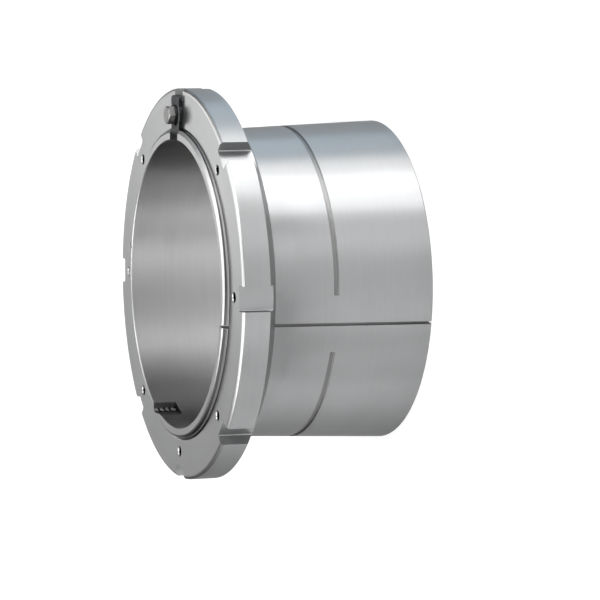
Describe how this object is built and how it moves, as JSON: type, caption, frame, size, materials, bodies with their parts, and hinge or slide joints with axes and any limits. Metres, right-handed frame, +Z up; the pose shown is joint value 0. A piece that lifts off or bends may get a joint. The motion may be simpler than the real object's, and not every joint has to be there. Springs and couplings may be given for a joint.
{
  "type": "bearing adapter sleeve",
  "caption": "Slit steel sleeve with straight bore, 1:12 taper and oil groove, carrying a slotted lock nut keyed to it by a bolted clip; seats a tapered bearing on a plain shaft.",
  "frame": {"origin": "centre of the sleeve's large end face, on which it stands", "axes": "+Z up the bore to the lock nut, +X to the locking clip, so the slit is 11 degrees past -Y towards -X"},
  "size_m": [0.3792, 0.3792, 0.2154],
  "materials": {
    "sleeve_steel": "finely turned",
    "nut_steel": "finely turned",
    "clip_steel": "dull rolled",
    "bolt_steel": "bright zinc plated"
  },
  "bodies": {
    "root": {"taper_sleeve": "sleeve_steel", "lock_nut": "nut_steel", "locking_clip": "clip_steel", "clip_bolt": "bolt_steel", "clip_washer": "clip_steel"}
  },
  "joints": []
}
